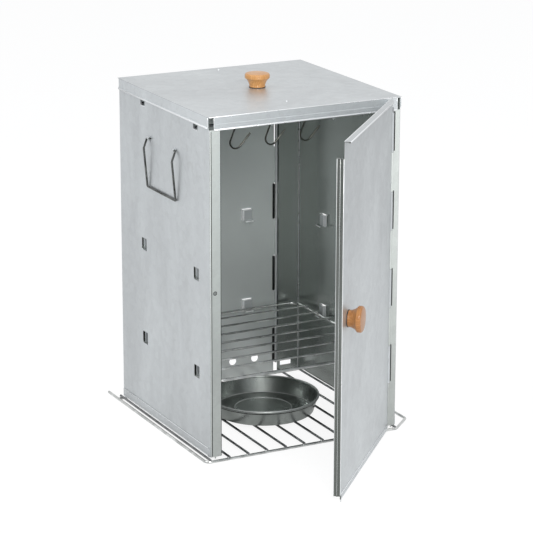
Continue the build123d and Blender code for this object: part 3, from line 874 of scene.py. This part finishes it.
@dataclass(frozen=True)
class PaintedShadowLines:
    """Painted shadow: near-black lines at the post's bend, in the gaps beside knuckles, in the support slots
    and round the catch hole.
    """

    post: tuple[Triple, Triple] = ((-0.1474, -0.1501, 0.0005), (-0.1332, -0.1499, 0.0004))
    post_foot: float = 0.001
    post_top: float = LID_TOP - CABINET_BOTTOM - 0.020
    knuckles: int = 8
    knuckle_pitch: float = 0.0573
    knuckle_gap: float = 0.0006
    rear_start: float = 0.0160
    rear_face: float = 0.1499
    rear: Pair = (0.1122, 0.0010)
    deep_rear: Pair = (0.1046, 0.0015)
    deep_rear_knuckles: tuple[int, ...] = (0, 2, 4)
    front_start: float = 0.0109
    front: tuple[Triple, Triple] = ((0.1312, -0.1508, 0.0006), (0.1391, -0.1496, 0.0021))
    slot_reach: float = 0.1490
    slots: tuple[tuple[float, ...], ...] = ((0.0066, 0.107, 0.123, 0.0013), (0.0068, 0.250, 0.266, 0.0008))
    hole_middle: Point = (-0.142, -0.1496, CABINET_BOTTOM + 0.240)
    hole_radius: float = 0.0028
    hole_bead: float = 0.0005

    def runs(self) -> list[Run]:
        """Lists the lines.

        Returns:
            Runs for a trim piece.
        """
        beads = [Upright(x, y, self.post_foot, self.post_top, radius) for x, y, radius in self.post]
        length = self.knuckle_pitch - self.knuckle_gap
        for i in range(self.knuckles):
            low = self.rear_start + i * self.knuckle_pitch
            x, radius = self.deep_rear if i in self.deep_rear_knuckles else self.rear
            beads.append(Upright(x, self.rear_face - radius, low, low + length, radius))
            low = self.front_start + i * self.knuckle_pitch
            x, y, radius = self.front[i % 2]
            beads.append(Upright(x, y, low, low + length, radius))
        for y in ROD_PLACES:
            for side in SIDES:
                for along, low, high, radius in self.slots:
                    beads.append(Upright(side * self.slot_reach, y + along, low, high, radius))
        hole = ring(self.hole_middle, self.hole_radius, Plane.FRONT)
        return [*(bead.run() for bead in beads), (hole, self.hole_bead)]


@dataclass(frozen=True)
class SupportEdges:
    """Rounded edges and sides of the pressed shelf supports, and a bead at the bend beside the right rear
    knuckles, all white as painted highlight.

    A reach is counted inwards from the wall's outside, a height from the support's foot.
    """

    levels: Pair = (0.106, 0.249)
    back_places: Pair = (-0.06445, 0.05795)
    half: float = 0.0071
    height: float = 0.018
    loop_reach: float = 0.0053
    loop_edge: float = -0.0065
    loop_foot: float = 0.001
    loop_top: float = 0.0172
    loop_bead: float = 0.0011
    ledge_reach: float = 0.0121
    ledge_foot: float = 0.0004
    ledge_bead: float = 0.0009
    slot_reach: float = 0.0030
    slot_edge: float = -0.0078
    slot_bead: float = 0.0013
    bend: Upright = Upright(x=0.1074, y=0.1456, low=0.016, high=0.473, radius=0.0006)

    def runs(self) -> list[Run]:
        """Lists the beads of every support.

        Returns:
            Runs for a trim piece.
        """
        loop = [(self.loop_edge, self.loop_foot), (self.loop_edge, self.loop_top), (self.half, self.loop_top)]
        shapes = (
            ([(self.loop_reach, along, z) for along, z in loop], self.loop_bead),
            ([(self.ledge_reach, y, self.ledge_foot) for y in (-self.half, self.half)], self.ledge_bead),
            ([(self.slot_reach, self.slot_edge, z) for z in (0.0, self.height)], self.slot_bead),
        )
        runs = []
        places = [(side, y) for side in SIDES for y in ROD_PLACES] + [(0, x) for x in self.back_places]
        for side, middle in places:
            for level in self.levels:
                foot = CABINET_BOTTOM + level
                for shape, radius in shapes:
                    placed = []
                    for reach, along, z in shape:
                        inner = HALF_BODY - reach
                        spot = (side * inner, middle + along) if side else (middle + along, inner)
                        placed.append((*spot, foot + z))
                    runs.append((placed, radius))
        return [*runs, self.bend.run()]


@dataclass(frozen=True)
class WallEdges:
    """Hem lines, slot lips, handle rings and rear corners of the walls, as beads in painted highlight colour.
    """

    outside: float = HALF_BODY + SHEET
    hem_levels: Pair = (0.012, 0.0007)
    hem_front: float = -HALF_BODY + 0.008
    hem_back: float = HALF_BODY - 0.003
    back_hem: Pair = (-0.1115, 0.105)
    hem_bead: float = 0.0005
    lip_reach: float = 0.1506
    lip_half: float = 0.0068
    lip_height: float = 0.4636
    lip_bead: float = 0.0007
    lug_places: Pair = (-0.0405, 0.0435)
    lug_reach: float = 0.1490
    lug_height: float = 0.421
    lug_radius: float = 0.0026
    lug_bead: float = 0.0006
    corner: float = 0.1484
    corner_top: float = LID_TOP - CABINET_BOTTOM - 0.004
    corner_bead: float = 0.0006

    def runs(self) -> list[Run]:
        """Lists the beads.

        Returns:
            Runs for a trim piece.
        """
        runs = []
        for side in SIDES:
            for level in self.hem_levels:
                x, z = side * self.outside, CABINET_BOTTOM + level
                runs.append(([(x, self.hem_front, z), (x, self.hem_back, z)], self.hem_bead))
            x, z = side * self.lip_reach, CABINET_BOTTOM + self.lip_height
            for y in ROD_PLACES:
                runs.append(([(x, y - self.lip_half, z), (x, y + self.lip_half, z)], self.lip_bead))
            for y in self.lug_places:
                middle = (side * self.lug_reach, y, CABINET_BOTTOM + self.lug_height)
                runs.append((ring(middle, self.lug_radius, Plane.SIDE), self.lug_bead))
        hem = [(x, self.outside, CABINET_BOTTOM + self.hem_levels[0]) for x in self.back_hem]
        runs.append((hem, self.hem_bead))
        for side in SIDES:
            corner = Upright(side * self.corner, self.corner, 0.0, self.corner_top, self.corner_bead)
            runs.append(corner.run())
        return runs


@dataclass(frozen=True)
class LidEdges:
    """Rolled edges of the lid, the edges of its front notches and two pips on its top, as beads in painted
    highlight colour.
    """

    reach: float = HALF_BODY + 0.0019
    low: float = LID_TOP - LID_DROP + 0.0007
    side_low: float = LID_TOP - LID_SIDE_DROP + 0.0007
    front_half: float = 0.1435
    back_half: float = 0.147
    hem_bead: float = 0.0012
    brow_half: float = 0.1508
    brow_reach: float = HALF_BODY + 0.0011
    brow_height: float = LID_TOP - 0.0003
    brow_bead: float = 0.0006
    notch_top: float = LID_TOP - 0.001
    notches: tuple[Triple, ...] = ((0.1514, -0.1478, 0.0006), (0.1434, -0.1514, 0.0005))
    pips: tuple[Triple, ...] = ((0.0055, 0.136, 0.0016), (-0.0071, -0.1041, 0.0012))
    pip_height: float = 0.0002
    pip_share: float = 0.6

    def runs(self) -> list[Run]:
        """Lists the beads.

        Returns:
            Runs for a trim piece.
        """
        levels = (
            (self.front_half, -self.reach, self.low, self.hem_bead),
            (self.back_half, self.reach, self.low, self.hem_bead),
            (self.brow_half, -self.brow_reach, self.brow_height, self.brow_bead),
        )
        runs = [([(-half, y, z), (half, y, z)], bead) for half, y, z, bead in levels]
        for side in SIDES:
            hem = [(side * self.reach, y, self.side_low) for y in (-self.back_half, self.back_half)]
            runs.append((hem, self.hem_bead))
            for (x, y, bead), low in zip(self.notches, (self.side_low, self.low)):
                runs.append(([(side * x, y, low), (side * x, y, self.notch_top)], bead))
        for x, y, size in self.pips:
            peak = (x, y, LID_TOP + self.pip_height)
            runs.append(([(x - size, y, LID_TOP), peak, (x + size, y, LID_TOP)], size * self.pip_share))
        return runs


@dataclass(frozen=True)
class DoorEdges:
    """Rolled edges of the door as it stands ajar, beaded in painted highlight colour.

    Lengths across the door are counted from its hinge, and those through it towards the inside.
    """

    return_across: float = -DOOR_WIDTH - 0.0002
    return_low: float = CABINET_BOTTOM + 0.002
    return_high: float = 0.4757
    returns: tuple[Pair, ...] = ((-0.0001, 0.0005), (0.0046, 0.00045), (0.0092, 0.0003))
    free_end: float = -0.2863
    levels: tuple[tuple[float, ...], ...] = (
        (-0.0345, -0.0086, LID_TOP + 0.0014, 0.0009),
        (-0.0045, -0.0002, LID_TOP + 0.0018, 0.0006),
        (-0.0040, -0.0008, CABINET_BOTTOM + 0.0046, 0.0005),
        (-0.0040, -0.0008, CABINET_BOTTOM - 0.0019, 0.0006),
    )

    @staticmethod
    def point(across: float, through: float, z: float) -> Point:
        """Turns a point of the closed door to where the door stands ajar.

        Args:
            across: Across the door, negative towards its free edge.
            through: Through the door, positive towards the inside.
            z: Height above the ground.

        Returns:
            The point in the model's frame.
        """
        turn = math.radians(DOOR_ANGLE)
        return (
            DOOR_HINGE[0] + across * math.cos(turn) - through * math.sin(turn),
            DOOR_HINGE[1] + across * math.sin(turn) + through * math.cos(turn),
            z,
        )

    def runs(self) -> list[Run]:
        """Lists the beads.

        Returns:
            Runs for a trim piece.
        """
        runs = []
        for through, bead in self.returns:
            ends = [self.point(self.return_across, through, z) for z in (self.return_low, self.return_high)]
            runs.append((ends, bead))
        for hinge_end, through, z, bead in self.levels:
            ends = [self.point(across, through, z) for across in (self.free_end, hinge_end)]
            runs.append((ends, bead))
        return runs


@dataclass
class Assembly:
    """Some of the CAD's pieces, with the shared effects for their finishes."""

    nodes: CadNodes
    effects: Effects

    def wear(self, names: Names, material: Material) -> None:
        """Gives CAD nodes one finish.

        Args:
            names: The nodes' names.
            material: The finish.
        """
        for name in names:
            node = self.nodes[name]
            if not node.material_slots:
                node.data.materials.append(material)
            for slot in node.material_slots:
                slot.material = material
            LOG.info("%s wears %s", name, material.name)


@dataclass
class Cabinet(Assembly):
    """Walls, door and lid of sheet metal, with their rods and studs."""

    walls: Names = ("left_wall", "right_wall")
    rods: Names = (
        "left_rear_hinge_rod", "right_rear_hinge_rod", "door_hinge_rod", "door_catch_stud",
        "door_knob_screw", "lid_knob_screw",
    )

    def dress(self) -> None:
        """Gives every sheet and rod its finish and adds the trim."""
        # Painted shade inside the side walls; painted light at their tops and painted shade at their feet,
        # stronger on the front-facing posts, which are also tinted.
        wall = SheetFinish(
            "galvanised_wall", painted_zone=PaintedLightZone.WITHIN_CABINET, smear_stretch=(13.0, 13.0, 3.5),
            shade=(0.36, 0.39, 0.37), foot=0.90, top_painted_light=1.10,
            front_foot_painted_light=0.80, front_top_painted_light=1.42, front_painted_tint=(1.0, 1.01, 0.955),
        ).build(self.effects)
        # Painted light on the lid's flanges, more on the front one, against its top.
        flat = SheetFinish(
            "galvanised_lid", smear_stretch=(8.0, 8.0, 8.0), heights=(LID_TOP - 0.0014, LID_TOP - 0.0004),
            foot=1.2, front_foot_painted_light=1.3,
        ).build(self.effects)
        # Painted shade on the outer face of the door's return, and slightly towards the door's top.
        door = SheetFinish(
            "galvanised_door", painted_zone=PaintedLightZone.DOOR_RETURN, shade=(0.13, 0.14, 0.13), foot=0.99, top_painted_light=0.93,
            front_foot_painted_light=0.99, front_top_painted_light=0.93,
        ).build(self.effects)
        # Painted light inside the back wall, and a little towards its top.
        back = SheetFinish(
            "galvanised_back", painted_zone=PaintedLightZone.WITHIN_CABINET, shade=(0.80, 0.84, 0.825), metallic=0.55,
            top_painted_light=1.05,
        ).build(self.effects)
        self.wear(self.walls, wall)
        self.wear(("back_wall",), back)
        self.wear(("door_panel",), door)
        self.wear(("lid_panel",), flat)
        self.trim()
        rod = WireFinish(
            "drawn_rod", dark=(0.30, 0.31, 0.32), light=(0.52, 0.53, 0.54), smoothest=0.26, roughest=0.42,
        ).build(self.effects)
        self.wear(self.rods, rod)

    def trim(self) -> None:
        """Adds the beads: rolled edges, slot lips, handle rings, pips and the supports' edges in painted
        highlight colours, and lines of painted shadow.
        """
        # Painted highlight: near-white beads on edges that catch the light.
        edge = SheetFinish(
            "painted_highlight_edge", dark=(0.86, 0.88, 0.89), light=(0.95, 0.96, 0.97),
            smoothest=0.22, roughest=0.34,
        ).build(self.effects)
        # Painted highlight: white, non-metal beads on the supports' edges.
        pressed = SheetFinish(
            "pressed_edge_painted_highlight", dark=(0.88, 0.90, 0.90), light=(0.95, 0.96, 0.96), metallic=0.0,
            smoothest=0.3, roughest=0.4,
        ).build(self.effects)
        # Painted shadow: near-black lines where gaps, slots and bends lie in shade.
        painted_shadow = CoatingFinish(
            "painted_shadow_black", dark=(0.004, 0.004, 0.004), light=(0.01, 0.011, 0.01), metallic=0.0, specular=0.1,
        ).build(self.effects)
        Trim("wall_rolled_edges_painted_highlight", "cabinet", WallEdges().runs()).build(edge)
        Trim("support_edges_painted_highlight", "cabinet", SupportEdges().runs()).build(pressed)
        Trim("painted_shadow_lines", "cabinet", PaintedShadowLines().runs()).build(painted_shadow, Slot.ROD)
        Trim("lid_rolled_edges_painted_highlight", "lid", LidEdges().runs()).build(edge)
        Trim("door_rolled_edges_painted_highlight", "door", DoorEdges().runs()).build(edge)


@dataclass
class Knobs(Assembly):
    """The two turned knobs and their washers."""

    # The door knob's beech is painted darker than the lid knob's: painted shade.
    tones_with_painted_shade: tuple[tuple[str, Colour, Colour], ...] = (
        ("door_knob", (0.52, 0.24, 0.072), (0.28, 0.10, 0.024)),
        ("lid_knob", (0.72, 0.38, 0.135), (0.48, 0.205, 0.052)),
    )

    def dress(self) -> None:
        """Gives the knobs and washers their finishes."""
        turn = math.radians(DOOR_ANGLE)
        axes = {"door_knob": (math.sin(turn), -math.cos(turn), 0.0), "lid_knob": (0.0, 0.0, 1.0)}
        washer = CoatingFinish(
            "washer_rubber", dark=(0.012, 0.010, 0.010), light=(0.03, 0.025, 0.024), metallic=0.0,
            smoothest=0.5, roughest=0.7,
        ).build(self.effects)
        for name, pale, deep in self.tones_with_painted_shade:
            low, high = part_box(name)
            middle = tuple((low + high) / 2)
            wood = WoodFinish(name + "_beech", middle, axes[name], pale=pale, deep=deep).build(self.effects)
            self.wear((name,), wood)
            self.wear((name + "_washer",), washer)


@dataclass
class Wirework(Assembly):
    """Rack, shelf, hanging rods, hooks and handles."""

    # Painted light: the bright names wear a lighter copy of the plated wire, the thin names a darker copy as
    # painted shade.
    bright: Names = ("shelf_frame", "shelf_bars", "base_rack_frame")
    handles: Names = ("left_handle", "right_handle")
    thin: Names = ("front_hanging_rod", "rear_hanging_rod", "base_rack_bars")
    hooks: Names = ("hook_1", "hook_2", "hook_3")
    rack_bars: int = 11
    rack_first: float = -0.1525
    rack_pitch: float = 0.030
    rack_front: float = -0.152
    rack_back: float = 0.153
    rack_cut_start: float = 0.151
    rack_cut_slope: float = 31.0 / 34.0
    rack_weld_z: float = 0.0040
    rack_weld_size: Point = (0.0028, 0.0018, 0.0013)
    shelf_bars: int = 7
    shelf_front: float = -0.1435
    shelf_pitch: float = 0.0355
    shelf_half: float = 0.140
    shelf_weld_z: float = 0.1193
    shelf_weld_size: Point = (0.0022, 0.0026, 0.0012)

    def dress(self) -> None:
        """Gives every wire its finish and adds the welds."""
        # A darker and a lighter copy of one plated wire: painted shade and painted light.
        wire = WireFinish("plated_wire_painted_shade").build(self.effects)
        bright = WireFinish(
            "plated_wire_painted_light", dark=(0.45, 0.46, 0.45), light=(0.76, 0.77, 0.76), smoothest=0.08,
            roughest=0.2,
        ).build(self.effects)
        # The hooks and the handles wear darker wire colours.
        hook = WireFinish(
            "dark_hook_wire", dark=(0.045, 0.047, 0.04), light=(0.10, 0.10, 0.088),
        ).build(self.effects)
        bail = WireFinish(
            "dark_bail_wire", dark=(0.025, 0.026, 0.024), light=(0.15, 0.155, 0.15), smoothest=0.08,
            roughest=0.18,
        ).build(self.effects)
        worn = ((self.thin, wire), (self.hooks, hook), (self.handles, bail), (self.bright, bright))
        for names, finish in worn:
            self.wear(names, finish)
        rack = []
        for i in range(self.rack_bars):
            x = self.rack_first + i * self.rack_pitch
            front = self.rack_front + max(0.0, x - self.rack_cut_start) * self.rack_cut_slope
            rack += [(x, front, self.rack_weld_z), (x, self.rack_back, self.rack_weld_z)]
        Welds("base_rack_welds", "base_rack", rack, self.rack_weld_size, seed=3).build(bright)
        shelf = [
            (side * self.shelf_half, self.shelf_front + (i + 1) * self.shelf_pitch, self.shelf_weld_z)
            for i in range(self.shelf_bars)
            for side in SIDES
        ]
        Welds("shelf_welds", "shelf", shelf, self.shelf_weld_size, seed=5).build(wire)


@dataclass
class ChipPan(Assembly):
    """The round pan for wood chips. Each line is a radius, a height and the bead's own radius."""

    floor_height: float = 0.001
    # The rim line and the floor lines are rings of painted highlight; the rim crease is a ring of painted
    # shadow.
    rim_line: Triple = (0.0823, -0.0004, 0.0010)
    rim_crease: Triple = (0.0814, -0.0040, 0.0009)
    floor_lines: tuple[Triple, ...] = ((0.0424, 0.0019, 0.0008), (0.0722, 0.0008, 0.0007))

    def dress(self) -> None:
        """Gives the pan its dark coating, its rings of painted highlight and the painted shadow crease under
        its rim.
        """
        self.wear(("chip_pan",), CoatingFinish("dark_baked_coating").build(self.effects))
        bright = CoatingFinish(
            "pan_edge_painted_highlight", dark=(0.50, 0.52, 0.51), light=(0.68, 0.70, 0.69), metallic=0.3,
        ).build(self.effects)
        shadowed = CoatingFinish(
            "pan_crease_painted_shadow", dark=(0.008, 0.008, 0.008), light=(0.02, 0.021, 0.02), metallic=0.0,
            specular=0.1,
        ).build(self.effects)
        low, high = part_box("chip_pan")
        floor = low[2] + self.floor_height
        lines = [(self.rim_crease, high[2]), (self.rim_line, high[2])]
        lines += [(line, floor) for line in self.floor_lines]
        # The crease is painted shadow; the other rings, held as worn, are painted highlights.
        crease, *worn = [
            (ring((*PAN_MIDDLE, level + height), radius, Plane.LEVEL, steps=72), bead)
            for (radius, height, bead), level in lines
        ]
        Trim("chip_pan_painted_highlight_lines", "chip_pan", worn).build(bright, Slot.PAN)
        Trim("chip_pan_painted_shadow_crease", "chip_pan", [crease]).build(shadowed, Slot.PAN)


def main() -> None:
    """Builds the looks in order."""
    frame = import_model()
    studio = Studio()
    for step in (studio.camera, studio.floor, studio.light):
        step()
    effects = Effects()
    for assembly in (Cabinet, Knobs, Wirework, ChipPan):
        assembly(frame["nodes"], effects).dress()


if __name__ == "__main__":
    main()
